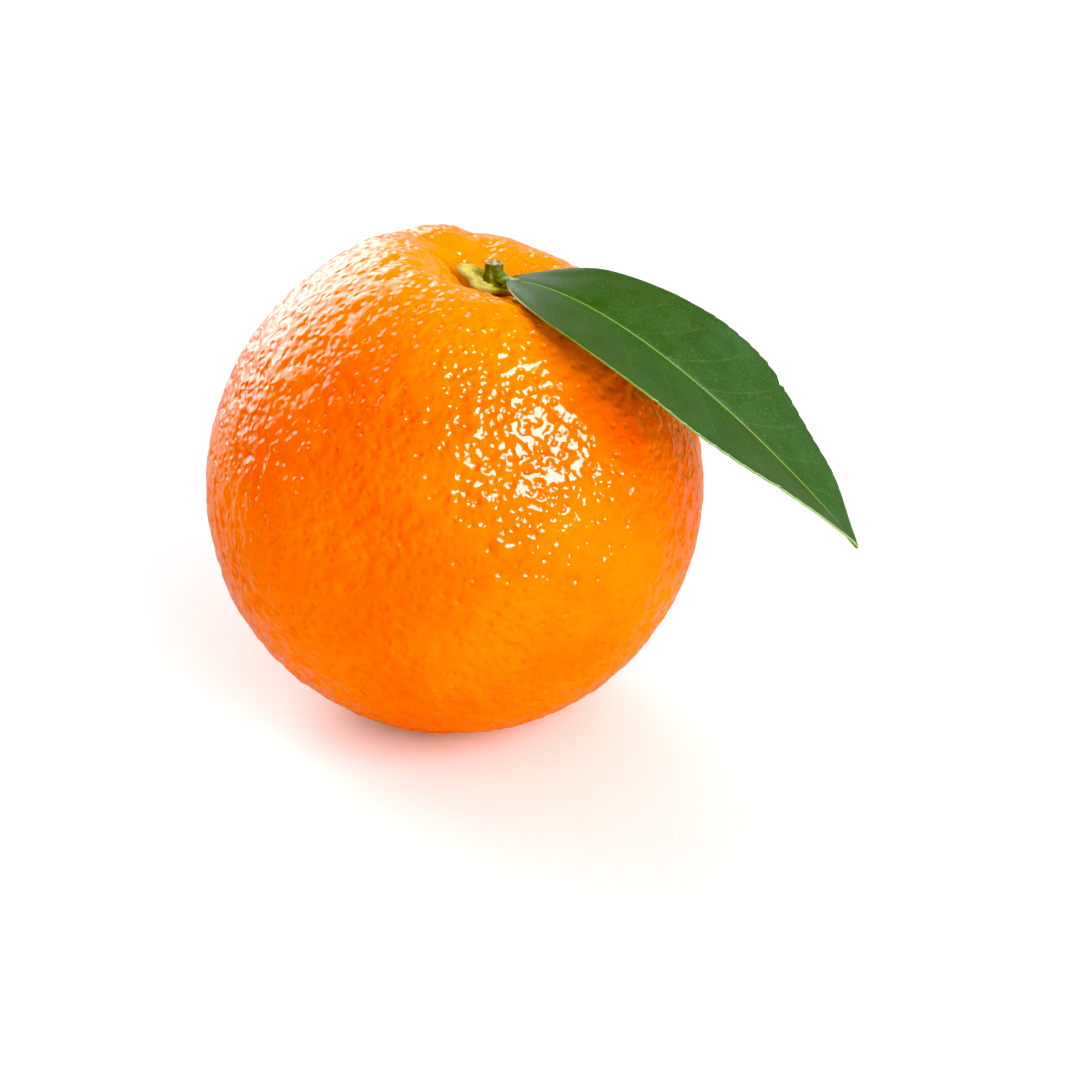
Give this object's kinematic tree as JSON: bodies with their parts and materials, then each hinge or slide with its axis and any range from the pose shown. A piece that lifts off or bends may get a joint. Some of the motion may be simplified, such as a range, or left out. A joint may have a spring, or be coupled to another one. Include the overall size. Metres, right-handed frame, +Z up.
{
  "type": "orange",
  "caption": "Whole sweet orange on its flat resting spot, with its green button, a short stem stub and an attached leaf.",
  "frame": {"origin": "centre of the small flat spot that the fruit rests on", "axes": "+Z up from the resting surface, +X towards the side that the leaf reaches to, -Y towards the fruit's front"},
  "size_m": [0.0993, 0.0782, 0.0772],
  "materials": {
    "peel": "waxy orange peel with small oil pits, glossy",
    "button": "dry yellow-green button, matt and cracked",
    "stem": "olive-green ribbed stem with a pale cut end",
    "stalk": "smooth green leaf stalk",
    "leaf": "leathery waxy green leaf, paler below"
  },
  "bodies": {
    "root": {"fruit": "peel", "calyx": "button", "stem": "stem", "petiole": "stalk", "leaf": "leaf"}
  },
  "joints": []
}
